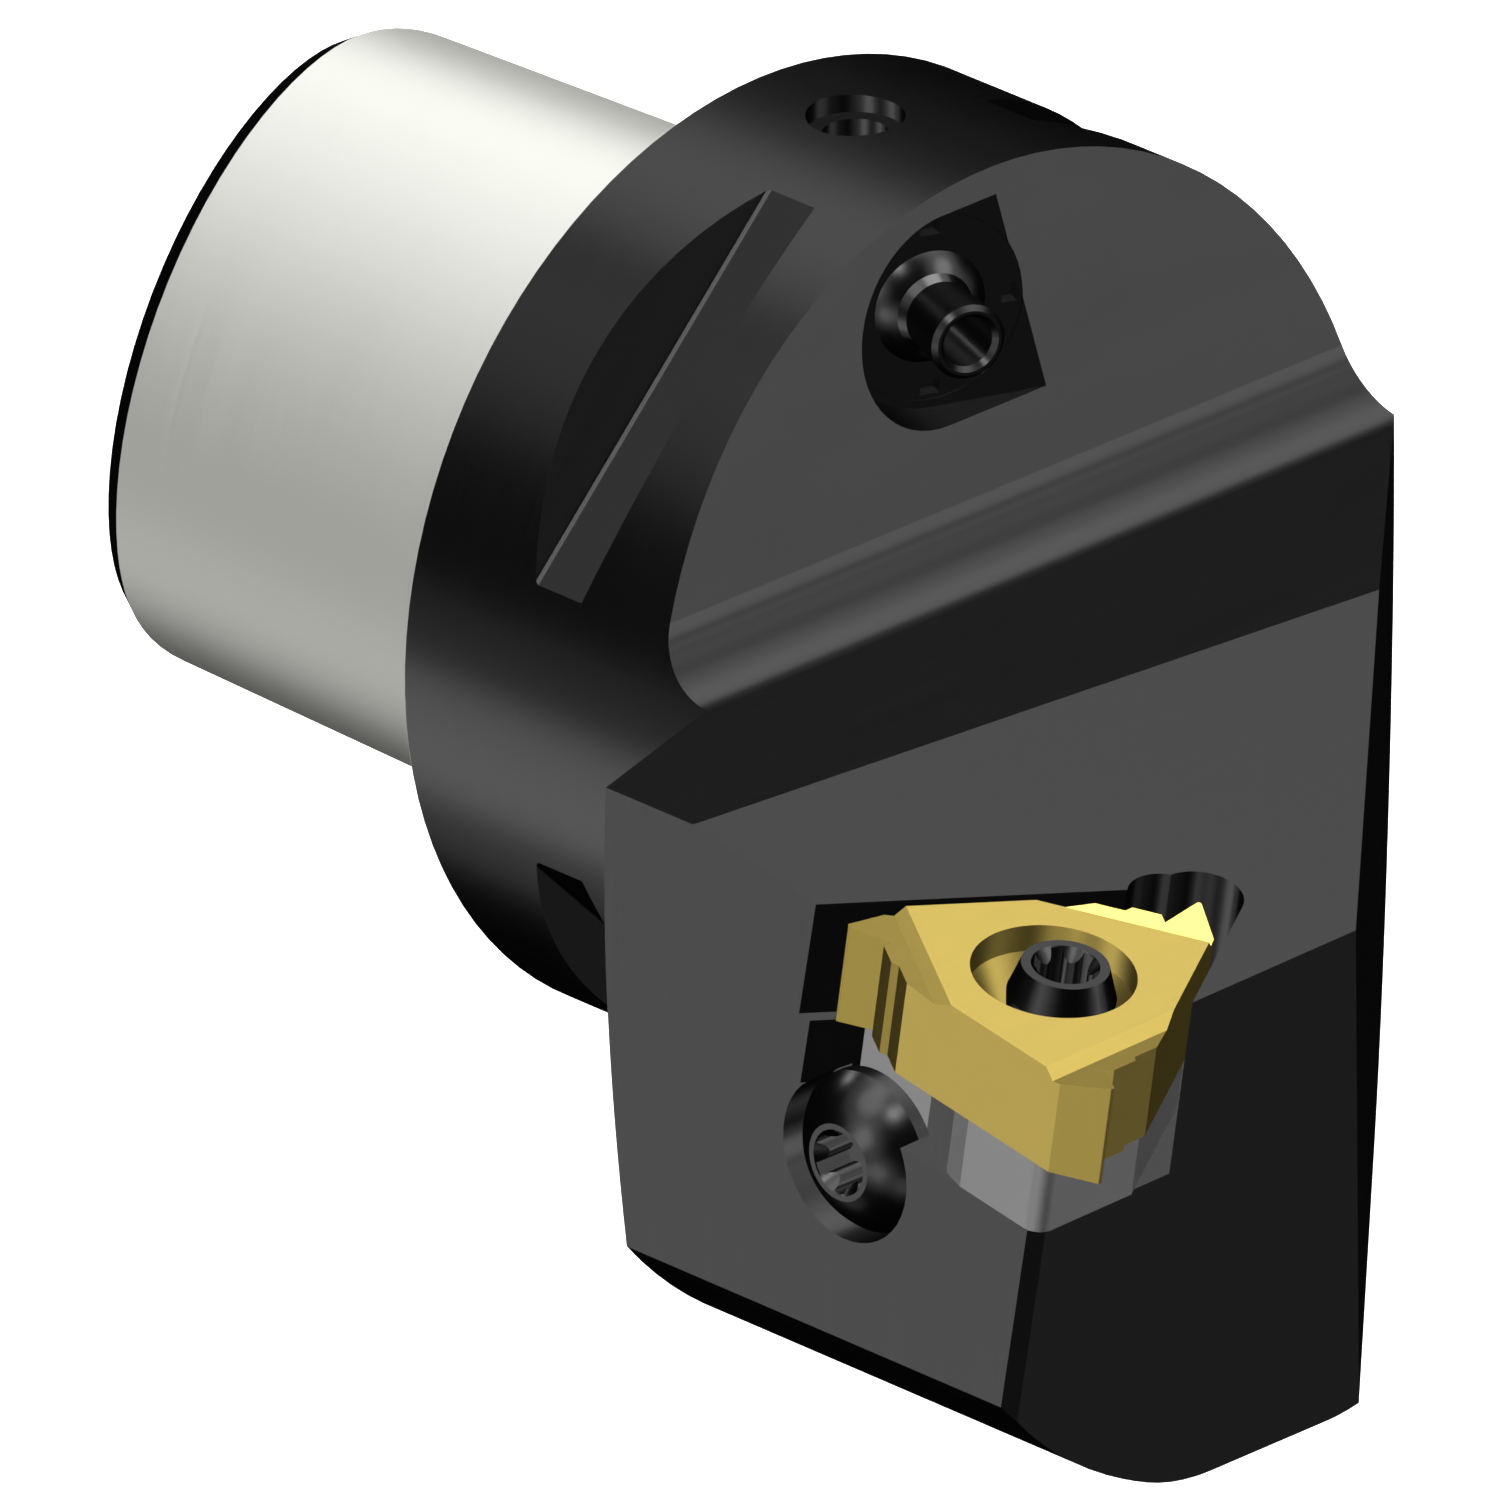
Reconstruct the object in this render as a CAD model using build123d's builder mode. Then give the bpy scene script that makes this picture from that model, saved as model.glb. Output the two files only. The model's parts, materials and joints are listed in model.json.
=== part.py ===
from build123d import *
import os
from math import asin, cos, degrees, pi, radians, sin, sqrt, tan

# External threading head on a polygon taper shank, with a three-tip insert and a swivelling coolant nozzle.
# Lengths are in mm and angles in degrees. The origin is the centre of the flange's contact face.
# +X runs from that face to the cutting end, +Z is up and the cutting side faces -Y.

# Fits and gaps
thread_play = 0.05
head_gap = 0.05
seat_play = 0.09
ball_play = 0.08
rail_play = 0.05
plug_play = 0.03

# Polygon taper shank
shank_mean_d = 35.3
shank_lobe = 2.15
shank_length = 30.2
shank_taper = 0.05
shank_turn = 30.0
lead_length = 1.45
lead_drop = 0.8
section_points = 36

# Clamping bore and centre thread in the shank
bore_d = 21.0
bore_depth = 19.0
bore_mouth_chamfer = 1.0
clamp_groove_d = 24.4
clamp_groove_start = 6.5
clamp_groove_width = 4.0
thread_core_d = 14.4
thread_end_x = 9.0
thread_chamfer = 0.8
drill_point_angle = 59.0

# Flange
flange_d = 50.0
front_x = 18.0
front_lean = 5.1
gripper_slot_x = 9.7
gripper_slot_width = 3.2
gripper_slot_depth = 2.8
gripper_slot_lean = 33.5
gripper_slot_count = 4
gripper_slot_turn = 45.0

# Radial coolant channel, closed by a plug screw
channel_x = 6.55
channel_d = 3.35
channel_mouth_d = 5.0
channel_mouth_depth = 1.0
plug_below_step = 1.8
plug_length = 4.0
plug_socket_sides = 6
plug_socket_flats = 1.5
plug_socket_depth = 1.8

# Tool block
strip_z = 5.05
strip_fillet_r = 3.6
insert_overhang = 3.47
side_cover = 0.63
end_lean = 10.0
end_width = 20.83
relief_turn = 42.6
shoulder_x = 20.75
shoulder_slope = 0.30
belly_drop = 3.65
belly_slope = 16.3
belly_blend_r = 10.0
belly_flat_end = 18.4
corner_small_r = 11.9
corner_small_sweep = 23.3
corner_large_r = 31.3
end_bevel_width = 0.96
end_bevel_depth = 0.37

# Insert: a triangle with one V tooth at each corner, drawn from its centre
insert_count = 3
insert_circle_d = 12.7
insert_thickness = 5.6
tip_x = 58.48
tip_y = -33.75
rake_tilt = 10.0
helix_tilt = 1.0
tooth_reach = 9.34
tooth_side = 4.96
tooth_half_angle = 30.0
tooth_depth = 2.08
nose_r = 0.15
crest_drop = 1.60
crest_ramp = 0.33
crest_width = 1.49
land_drop = 1.93
land_ramp = 0.26
top_reach = 5.88
bevel_depth = 0.55
insert_rim_d = 8.3
insert_rim_depth = 1.5

# Six-lobed key sockets, whose valleys and mouths are shares of the socket's size
socket_lobe_count = 6
socket_valley_r = 0.17
socket_valley_reach = 0.53
socket_mouth = 1.03
socket_mouth_angle = 50.0

# Insert screw
insert_screw_d = 4.0
insert_screw_offset = 0.8
insert_screw_proud = 0.1
insert_screw_top_d = 4.42
insert_screw_head_d = 5.49
insert_screw_head_fall = 1.6
insert_screw_seat_d = 5.3
seat_half_angle = 30.0
insert_screw_grip = 6.5
insert_screw_socket_d = 3.35
insert_screw_socket_depth = 2.25

# Shim and the rails that locate the insert on it
shim_thickness = 4.46
shim_inset = 0.55
shim_corner_reach = 6.2
shim_front = 5.7
shim_wall = 4.89
shim_nick = 0.34
shim_lug_face = 3.45
shim_corner_r = 1.0
shim_bore_gap = 0.25
rail_inner = 3.7
rail_outer = 5.3
rail_width = 2.2
rail_height = 0.7
rail_depth_gap = 0.1
rail_turn = 90.0

# Insert pocket
pocket_wall = 6.87
pocket_ledge = 0.67
pocket_ledge_drop = 0.8
pocket_relief_r = 2.2
pocket_relief_u = -0.7
pocket_relief_v = 10.85
pocket_small_relief_r = 1.9
pocket_small_relief_u = -1.75
pocket_small_relief_v = 9.5

# Shim screw with a domed head
shim_screw_d = 4.0
shim_screw_u = -6.83
shim_screw_drop = 2.6
shim_screw_head_d = 8.4
shim_screw_rim = 0.75
shim_screw_head_height = 2.6
shim_screw_crown_d = 4.05
shim_screw_grip = 10.0
shim_screw_socket_d = 3.35
shim_screw_socket_depth = 2.25
counterbore_gap = 0.1

# Coolant nozzle: a ball with a tube, held by a ring nut on a seal ring
nozzle_edge = 6.97
nozzle_y = -3.5
nozzle_turn = 20.8
nozzle_floor_depth = 1.88
ball_r = 4.0
ball_flat = 3.2
tube_foot_d = 3.6
tube_end_d = 3.96
tube_reach = 7.65
tube_bore_d = 2.64
tube_rim_chamfer = 0.25
neck_d = 4.1
neck_reach = 3.95
nut_opening_d = 6.0
nut_wall = 1.0
nut_lip = 0.05
nut_depth = 2.6
nut_under_gap = 0.1
notch_length = 0.85
notch_width = 1.05
notch_depth = 0.8
notch_inset = 0.68
notch_count = 4
recess_rim = 0.47
nut_cone_angle = 45.0
nut_cone_foot_d = 8.4
seal_cone_angle = 50.0
seal_top = 2.2
seal_land = 0.3
seal_bore_d = 5.0
seal_wall = 0.75
seal_gap = 0.05
nozzle_channel_d = 3.0

# Sizes of cutting shapes that only have to reach past the metal
overcut = 5.0


# Values worked out from the driving sizes
flange_r = flange_d / 2
end_x = tip_x - insert_overhang
side_y = side_cover - tip_y
belly_z = flange_r + belly_drop
stock_x = end_x + overcut + belly_z * tan(radians(end_lean))
insert_side = insert_circle_d / 2
pocket_depth = insert_thickness + shim_thickness

# Directions of the insert's sides and corners, each as the angle of its normal in the insert plane
step_angle = 360 / insert_count
side_right = 90 - step_angle / 2
side_back = 90
side_left = 90 + step_angle / 2
side_front = 270
corner_front = 0
corner_left = step_angle
corner_back = 2 * step_angle

# The insert screw stands off the hole's centre, so one side of its cone bears on the insert's cone
seat_fall = 1 / tan(radians(seat_half_angle))
insert_rim_r = insert_rim_d / 2
insert_bore_r = insert_screw_d / 2 + insert_screw_offset + seat_play
insert_seat_reach = insert_screw_seat_d / 2 + insert_screw_offset + seat_play
insert_seat_depth = insert_rim_depth + (insert_rim_r - insert_seat_reach) * seat_fall
insert_neck_depth = insert_seat_depth + (insert_screw_seat_d - insert_screw_d) / 2 * seat_fall

# The shim screw's dome, centred on the screw's axis and drawn through its foot and its crown
dome_foot_r = shim_screw_head_d / 2
dome_crown_r = shim_screw_crown_d / 2
dome_rise = shim_screw_head_height - shim_screw_rim
dome_centre = (dome_foot_r**2 - dome_crown_r**2 - dome_rise**2) / (2 * dome_rise)
dome_r = sqrt(dome_foot_r**2 + dome_centre**2)


def front_at(z):
    """X of the flange's leaning front face at height z."""
    return front_x - z * tan(radians(front_lean))


def meet(angle_a, reach_a, angle_b, reach_b):
    """Corner of two straight sides, each given by its normal's angle and its distance from the centre."""
    a = radians(angle_a)
    b = radians(angle_b)
    u = (reach_a * sin(b) - reach_b * sin(a)) / sin(b - a)
    v = (reach_b * cos(a) - reach_a * cos(b)) / sin(b - a)
    return (u, v)


def turned(point, angle):
    """A point of a flat outline, turned about the centre."""
    u, v = point
    a = radians(angle)
    return (u * cos(a) - v * sin(a), u * sin(a) + v * cos(a))


def axial(plane):
    """The plane that holds another plane's axis: its second direction runs along that axis."""
    return Plane(origin=plane.origin, x_dir=plane.x_dir, z_dir=-plane.y_dir)


def spun(plane, angle):
    """A plane turned about its own normal."""
    across = plane.x_dir.rotate(Axis((0, 0, 0), plane.z_dir), angle)
    return Plane(origin=plane.origin, x_dir=across, z_dir=plane.z_dir)


def lobed_points(radius):
    """Points of the three-lobed shank section, from the curve's own formula."""
    points = []
    for index in range(section_points):
        g = 2 * pi * index / section_points
        across = radius * cos(g) - shank_lobe * cos(2 * g) + shank_lobe / 2 * cos(4 * g)
        up = radius * sin(g) + shank_lobe * sin(2 * g) + shank_lobe / 2 * sin(4 * g)
        points.append((across, up))
    return points


def shank_radius(x):
    """Mean radius of the tapered shank at a place along it."""
    return shank_mean_d / 2 + x * shank_taper / 2


def shank_section(x):
    """Plane of a shank section, turned so that one lobe points up."""
    return spun(Plane.YZ.offset(x), shank_turn)


def cut_key_socket(plane, size, depth):
    """A six-lobed key socket with a conical mouth, cut down from a plane."""
    with BuildSketch(plane) as lobes:
        Circle(size / 2)
        with PolarLocations(size * socket_valley_reach, socket_lobe_count):
            Circle(size * socket_valley_r, mode=Mode.SUBTRACT)
    extrude(lobes.sketch, amount=-depth, mode=Mode.SUBTRACT)
    mouth_r = size / 2 * socket_mouth
    mouth_depth = mouth_r * tan(radians(socket_mouth_angle))
    with BuildSketch(axial(plane)) as mouth:
        Polygon((0, 0), (mouth_r, 0), (0, -mouth_depth), align=None)
    revolve(mouth.sketch, axis=Axis(plane.origin, plane.z_dir), mode=Mode.SUBTRACT)


# Insert plane: flush with the rake side of the insert, first direction along the front tooth
insert_normal = Vector(tan(radians(rake_tilt)), -tan(radians(helix_tilt)), 1).normalized()
insert_across = insert_normal.cross(Vector(1, 0, 0)).normalized()
insert_along = insert_across.cross(insert_normal)
insert_centre = Vector(tip_x, tip_y, 0) - insert_along * tooth_reach + insert_across * tooth_side
insert_plane = Plane(origin=insert_centre, x_dir=insert_along, z_dir=insert_normal)
screw_plane = Plane(
    origin=insert_centre + insert_across * insert_screw_offset,
    x_dir=insert_along,
    z_dir=insert_normal,
)

# Shim screw: square to the cutting side, its head bearing on the shim's lug
lug_corner = insert_plane.from_local_coords(
    Vector(shim_screw_u, -shim_lug_face, -pocket_depth - shim_screw_drop)
)
lug_upper = insert_plane.from_local_coords(Vector(shim_screw_u, -shim_lug_face, -insert_thickness))
shim_seat_y = lug_upper.Y - head_gap
shim_screw_plane = Plane(
    origin=(lug_corner.X, shim_seat_y, lug_corner.Z),
    x_dir=(1, 0, 0),
    z_dir=(0, -1, 0),
)

# Nozzle plane: the recess floor, square to the nozzle's own axis
nozzle_z = flange_r - nozzle_edge
nozzle_axis = Vector(cos(radians(nozzle_turn)), -sin(radians(nozzle_turn)), 0)
nozzle_face = Vector(front_at(nozzle_z), nozzle_y, nozzle_z)
nozzle_plane = Plane(
    origin=nozzle_face - nozzle_axis * nozzle_floor_depth,
    x_dir=(sin(radians(nozzle_turn)), cos(radians(nozzle_turn)), 0),
    z_dir=nozzle_axis,
)
nozzle_line = Axis(nozzle_plane.origin, nozzle_plane.z_dir)


def cone_height(r, angle):
    """Height over the ball's centre of a cone that touches the ball's clearance sphere, at radius r."""
    a = radians(angle)
    return (ball_r + ball_play - r * sin(a)) / cos(a)


def cone_radius(height, angle):
    """Radius of the same cone at a height over the ball's centre."""
    a = radians(angle)
    return (ball_r + ball_play - height * cos(a)) / sin(a)


# Depths along the nozzle's axis, from the recess floor down
nut_outer_r = ball_r + nut_wall
pivot_depth = cone_height(nut_opening_d / 2, nut_cone_angle) + nut_lip
seal_top_r = cone_radius(seal_top, seal_cone_angle)
seal_outer_r = seal_top_r + seal_wall
seal_land_top = cone_height(seal_bore_d / 2, seal_cone_angle)
socket_r = seal_outer_r + seal_gap
socket_depth = pivot_depth + seal_land_top + seal_land + seal_gap
pivot_plane = nozzle_plane.offset(-pivot_depth)


# Body of the head, with the shank, the flange and the tool block in one piece
with BuildPart() as head_body:
    # Outline seen along the shank: the round flange and the block that hangs to its cutting side
    with BuildSketch(Plane.YZ):
        with BuildLine():
            slope = radians(belly_slope)
            leave = (flange_r * sin(slope), -flange_r * cos(slope))
            fall = (belly_z - flange_r * cos(slope)) / sin(slope)
            blend_cut = belly_blend_r * tan(slope / 2)
            blend_y = leave[0] - (fall - blend_cut) * cos(slope)
            blend_z = leave[1] - (fall - blend_cut) * sin(slope)
            Line(leave, (blend_y, blend_z))
            blend = JernArc((blend_y, blend_z), (-cos(slope), -sin(slope)), belly_blend_r, -belly_slope)
            flat = Line(blend @ 1, (-belly_flat_end, -belly_z))
            small = JernArc(flat @ 1, (-1, 0), corner_small_r, -corner_small_sweep)
            large = JernArc(small @ 1, small % 1, corner_large_r, corner_small_sweep - 90)
            top_out = (large @ 1).X
            Line(large @ 1, (top_out, strip_z))
            Line((top_out, strip_z), (sqrt(flange_r**2 - strip_z**2), strip_z))
            top_angle = degrees(asin(strip_z / flange_r))
            CenterArc((0, 0), flange_r, top_angle, belly_slope - 90 - top_angle)
        make_face()
        Circle(flange_r)
    extrude(amount=stock_x)

    # Turned shoulder behind the block, outside the flange
    with BuildSketch(Plane.XZ):
        Polygon(
            (-overcut, flange_r),
            (shoulder_x, flange_r),
            (shoulder_x + shoulder_slope * flange_r, 2 * flange_r),
            (-overcut, 2 * flange_r),
            align=None,
        )
    revolve(axis=Axis.X, mode=Mode.SUBTRACT)

    # Leaning front face, fillet and top strip
    with BuildSketch(Plane.XZ) as front:
        top_z = flange_r + overcut
        Polygon(
            (front_at(strip_z), strip_z),
            (stock_x + overcut, strip_z),
            (stock_x + overcut, top_z),
            (front_at(top_z), top_z),
            align=None,
        )
        inner_corner = front.vertices().sort_by_distance((front_at(strip_z), strip_z, 0))[0]
        fillet(inner_corner, strip_fillet_r)
    extrude(amount=2 * flange_r, both=True, mode=Mode.SUBTRACT)

    # Chip face, level with the top of the insert
    with BuildSketch(insert_plane):
        chip_start = front_x + 2 * strip_fillet_r - insert_centre.X
        with Locations((chip_start, 0)):
            Rectangle(stock_x, 4 * flange_r, align=(Align.MIN, Align.CENTER))
    extrude(amount=flange_r, mode=Mode.SUBTRACT)

    # End face, relief face, cutting side and the narrow bevel between end and side
    lean = radians(end_lean)
    end_normal = Vector(cos(lean), 0, -sin(lean))
    split(bisect_by=Plane(origin=(end_x, 0, 0), z_dir=end_normal), keep=Keep.BOTTOM)
    turn = radians(relief_turn)
    relief_plane = Plane(origin=(end_x, end_width - side_y, 0), z_dir=(cos(turn), sin(turn), 0))
    split(bisect_by=relief_plane, keep=Keep.BOTTOM)
    split(bisect_by=Plane(origin=(0, -side_y, 0), z_dir=(0, -1, 0)), keep=Keep.BOTTOM)
    bevel_normal = end_normal * end_bevel_width + Vector(0, -end_bevel_depth * cos(lean), 0)
    bevel_origin = (end_x, end_bevel_width - side_y, 0)
    split(bisect_by=Plane(origin=bevel_origin, z_dir=bevel_normal.normalized()), keep=Keep.BOTTOM)

    # Flat grooves with leaning walls for the tool changer's gripper
    slot_foot = gripper_slot_width / 2
    slot_rise = gripper_slot_depth + overcut
    slot_top = slot_foot + slot_rise * tan(radians(gripper_slot_lean))
    for index in range(gripper_slot_count):
        angle = radians(gripper_slot_turn + index * 360 / gripper_slot_count)
        outward = Vector(0, cos(angle), sin(angle))
        floor = Vector(gripper_slot_x, 0, 0) + outward * (flange_r - gripper_slot_depth)
        along = Vector(0, -sin(angle), cos(angle))
        with BuildSketch(Plane(origin=floor, x_dir=(1, 0, 0), z_dir=along)):
            Polygon(
                (-slot_foot, 0),
                (slot_foot, 0),
                (slot_top, slot_rise),
                (-slot_top, slot_rise),
                align=None,
            )
        extrude(amount=flange_r, both=True, mode=Mode.SUBTRACT)

    # Tapered three-lobed shank with its lead-in
    lead_x = lead_length - shank_length
    stations = [
        (0, shank_radius(0)),
        (lead_x, shank_radius(lead_x)),
        (-shank_length, shank_radius(-shank_length) - lead_drop),
    ]
    for station_x, station_r in stations:
        with BuildSketch(shank_section(station_x)):
            with BuildLine():
                Spline(lobed_points(station_r), periodic=True)
            make_face()
    loft(ruled=True)

    # Clamping bore with its groove, then the centre thread's core and the drill point
    with BuildSketch(Plane.XZ):
        bore_r = bore_d / 2
        core_r = thread_core_d / 2
        groove_r = clamp_groove_d / 2
        groove_x = clamp_groove_start - shank_length
        groove_end_x = groove_x + clamp_groove_width
        bore_end_x = bore_depth - shank_length
        Polygon(
            (-shank_length, 0),
            (-shank_length, bore_r + bore_mouth_chamfer),
            (bore_mouth_chamfer - shank_length, bore_r),
            (groove_x, bore_r),
            (groove_x + groove_r - bore_r, groove_r),
            (groove_end_x, groove_r),
            (groove_end_x, bore_r),
            (bore_end_x, bore_r),
            (bore_end_x, core_r + thread_chamfer),
            (bore_end_x + thread_chamfer, core_r),
            (thread_end_x, core_r),
            (thread_end_x + core_r / tan(radians(drill_point_angle)), 0),
            align=None,
        )
    revolve(axis=Axis.X, mode=Mode.SUBTRACT)

    # Radial coolant channel from the flange's top down to the centre thread
    with BuildSketch(Plane.XY.offset(flange_r - channel_mouth_depth)):
        with Locations((channel_x, 0)):
            Circle(channel_mouth_d / 2)
    extrude(amount=channel_mouth_depth + overcut, mode=Mode.SUBTRACT)
    with BuildSketch(Plane.XY):
        with Locations((channel_x, 0)):
            Circle(channel_d / 2)
    extrude(amount=flange_r, mode=Mode.SUBTRACT)

    # Nozzle recess, open to one side, with the nut's thread and the ball socket below it
    recess_r = nut_outer_r + recess_rim
    with BuildSketch(nozzle_plane):
        Circle(recess_r)
        Rectangle(flange_d, 2 * recess_r, align=(Align.MIN, Align.CENTER))
    extrude(amount=flange_r, mode=Mode.SUBTRACT)
    with BuildSketch(nozzle_plane):
        Circle(nut_outer_r + thread_play)
    extrude(amount=-nut_depth - nut_under_gap, mode=Mode.SUBTRACT)
    with BuildSketch(nozzle_plane):
        Circle(socket_r)
    extrude(amount=-socket_depth, mode=Mode.SUBTRACT)
    channel_reach = (nozzle_plane.origin.X - channel_x) / cos(radians(nozzle_turn))
    with BuildSketch(nozzle_plane):
        Circle(nozzle_channel_d / 2)
    extrude(amount=-channel_reach, mode=Mode.SUBTRACT)

    # Insert pocket: a lower part for the shim, a wider upper part above the ledge, and the corner relief
    right = radians(side_right)
    relief_tangent = (
        pocket_relief_u + pocket_relief_r * cos(right),
        pocket_relief_v + pocket_relief_r * sin(right),
    )
    right_wall = relief_tangent[0] * cos(right) + relief_tangent[1] * sin(right)
    ledge_depth = insert_thickness + pocket_ledge_drop
    for wall, depth in [(pocket_wall - pocket_ledge, pocket_depth), (pocket_wall, ledge_depth)]:
        with BuildSketch(insert_plane.offset(-depth)):
            Polygon(
                meet(side_left, wall, side_back, pocket_relief_v),
                relief_tangent,
                meet(side_right, right_wall, side_front, 2 * pocket_wall),
                meet(side_left, wall, side_front, 2 * pocket_wall),
                align=None,
            )
            with Locations((pocket_relief_u, pocket_relief_v)):
                Circle(pocket_relief_r)
            with Locations((pocket_small_relief_u, pocket_small_relief_v)):
                Circle(pocket_small_relief_r)
        extrude(amount=depth + overcut, mode=Mode.SUBTRACT)

    # Threaded hole of the insert screw, below the pocket floor
    with BuildSketch(screw_plane.offset(-pocket_depth)):
        Circle(insert_screw_d / 2 + thread_play)
    extrude(amount=-insert_screw_grip - thread_chamfer, mode=Mode.SUBTRACT)

    # Counterbore and threaded hole of the shim screw
    with BuildSketch(shim_screw_plane.offset(-head_gap)):
        Circle(shim_screw_head_d / 2 + counterbore_gap)
    extrude(amount=side_y, mode=Mode.SUBTRACT)
    with BuildSketch(shim_screw_plane):
        Circle(shim_screw_d / 2 + thread_play)
    extrude(amount=-shim_screw_grip - thread_chamfer, mode=Mode.SUBTRACT)


# Threading insert
with BuildPart() as threading_insert:
    tooth_tan = tan(radians(tooth_half_angle))
    root_u = tooth_reach - tooth_depth
    root_v = tooth_depth * tooth_tan - tooth_side
    crest_u = tooth_reach - crest_drop
    crest_v = root_v + crest_ramp
    land_u = tooth_reach - land_drop
    corner = [
        (tooth_reach - (insert_side - tooth_side) / tooth_tan, -insert_side),
        (tooth_reach, -tooth_side),
        (root_u, root_v),
        (crest_u, crest_v),
        (crest_u, crest_v + crest_width),
        (land_u, crest_v + crest_width + land_ramp),
        meet(corner_front, land_u, side_right, insert_side),
    ]
    with BuildSketch(insert_plane) as insert_outline:
        ring = [turned(point, step_angle * index) for index in range(insert_count) for point in corner]
        Polygon(*ring, align=None)
        fillet(insert_outline.vertices().group_by(SortBy.DISTANCE)[-1], nose_r)
    extrude(amount=-insert_thickness)

    # Chip groove at each corner: a short bevel, then a rake face that rises to the tooth's tip
    bevel_u = top_reach + bevel_depth
    for index in range(insert_count):
        with BuildSketch(axial(spun(insert_plane, step_angle * index))):
            rise_past = bevel_depth / (tooth_reach - bevel_u) * overcut
            Polygon(
                (top_reach, 0),
                (bevel_u, -bevel_depth),
                (tooth_reach + overcut, rise_past),
                (top_reach, rise_past),
                align=None,
            )
        extrude(amount=insert_circle_d, both=True, mode=Mode.SUBTRACT)

    # Screw hole: a round recess, the cone that the screw's head bears on, and a bore that clears its shank
    with BuildSketch(axial(insert_plane)):
        Polygon(
            (0, 0),
            (insert_rim_r, 0),
            (insert_rim_r, -insert_rim_depth),
            (insert_bore_r, -insert_rim_depth - (insert_rim_r - insert_bore_r) * seat_fall),
            (insert_bore_r, -insert_thickness),
            (0, -insert_thickness),
            align=None,
        )
    revolve(axis=Axis(insert_centre, insert_normal), mode=Mode.SUBTRACT)

    # Grooves that sit on the shim's rails
    with BuildSketch(insert_plane.offset(-insert_thickness)):
        with PolarLocations((rail_inner + rail_outer) / 2, insert_count, start_angle=rail_turn):
            Rectangle(rail_outer - rail_inner + 2 * rail_play, rail_width + 2 * rail_play)
    extrude(amount=rail_height + rail_depth_gap, mode=Mode.SUBTRACT)


# Insert screw, set off towards the pocket's corner so that its head pulls the insert home
with BuildPart() as insert_screw:
    shank_r = insert_screw_d / 2
    screw_end = -pocket_depth - insert_screw_grip
    with BuildSketch(axial(screw_plane)):
        Polygon(
            (0, screw_end),
            (shank_r, screw_end),
            (shank_r, -insert_neck_depth),
            (insert_screw_seat_d / 2, -insert_seat_depth),
            (insert_screw_head_d / 2, -insert_screw_head_fall),
            (insert_screw_top_d / 2, insert_screw_proud),
            (0, insert_screw_proud),
            align=None,
        )
    revolve(axis=Axis(screw_plane.origin, insert_normal))
    cut_key_socket(screw_plane.offset(insert_screw_proud), insert_screw_socket_d, insert_screw_socket_depth)


# Shim under the insert, with a lug for the shim screw's head
with BuildPart() as shim:
    shim_side = insert_side - shim_inset
    with BuildSketch(insert_plane.offset(-pocket_depth)) as shim_outline:
        Polygon(
            (shim_corner_reach, -shim_front),
            meet(corner_front, shim_corner_reach, side_right, shim_side),
            meet(side_right, shim_side, corner_left, shim_corner_reach),
            meet(corner_left, shim_corner_reach, side_left, shim_side),
            meet(side_left, shim_side, side_front, shim_lug_face),
            meet(side_front, shim_lug_face, corner_back, shim_wall),
            meet(corner_back, shim_wall, side_front, shim_front - shim_nick),
            (meet(corner_back, shim_wall, side_front, shim_front)[0] + 2 * shim_nick, -shim_front),
            align=None,
        )
        front_corner = shim_outline.vertices().sort_by_distance((shim_corner_reach, -shim_front, 0))[0]
        fillet(front_corner, shim_corner_r)
    extrude(amount=shim_thickness)
    with BuildSketch(insert_plane.offset(-insert_thickness)):
        with PolarLocations((rail_inner + rail_outer) / 2, insert_count, start_angle=rail_turn):
            Rectangle(rail_outer - rail_inner, rail_width)
    extrude(amount=rail_height)
    with BuildSketch(screw_plane.offset(-pocket_depth)):
        Circle(insert_screw_d / 2 + shim_bore_gap)
    extrude(amount=pocket_depth, mode=Mode.SUBTRACT)


# Shim screw
with BuildPart() as shim_screw:
    with BuildSketch(axial(shim_screw_plane)):
        with BuildLine():
            crown = (dome_crown_r, shim_screw_head_height)
            Polyline(
                (dome_foot_r, shim_screw_rim),
                (dome_foot_r, 0),
                (shim_screw_d / 2, 0),
                (shim_screw_d / 2, -shim_screw_grip),
                (0, -shim_screw_grip),
                (0, shim_screw_head_height),
                crown,
            )
            RadiusArc(crown, (dome_foot_r, shim_screw_rim), dome_r)
        make_face()
    revolve(axis=Axis(shim_screw_plane.origin, shim_screw_plane.z_dir))
    crown_plane = shim_screw_plane.offset(shim_screw_head_height)
    cut_key_socket(crown_plane, shim_screw_socket_d, shim_screw_socket_depth)


# Coolant nozzle: ball and tube in one turned piece, the tube a little wider at its end
with BuildPart() as coolant_nozzle:
    tube_end_r = tube_end_d / 2
    tube_bore_r = tube_bore_d / 2
    flat_r = sqrt(ball_r**2 - ball_flat**2)
    neck_r = neck_d / 2
    with BuildSketch(axial(pivot_plane)):
        with BuildLine():
            ball_foot = (flat_r, -ball_flat)
            ball_top = (neck_r, sqrt(ball_r**2 - neck_r**2))
            ThreePointArc(ball_foot, (ball_r, 0), ball_top)
            Polyline(
                ball_top,
                (tube_foot_d / 2, neck_reach),
                (tube_end_r, tube_reach - tube_rim_chamfer),
                (tube_end_r - tube_rim_chamfer, tube_reach),
                (tube_bore_r + tube_rim_chamfer, tube_reach),
                (tube_bore_r, tube_reach - tube_rim_chamfer),
                (tube_bore_r, -ball_flat),
                ball_foot,
            )
        make_face()
    revolve(axis=nozzle_line)


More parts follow.
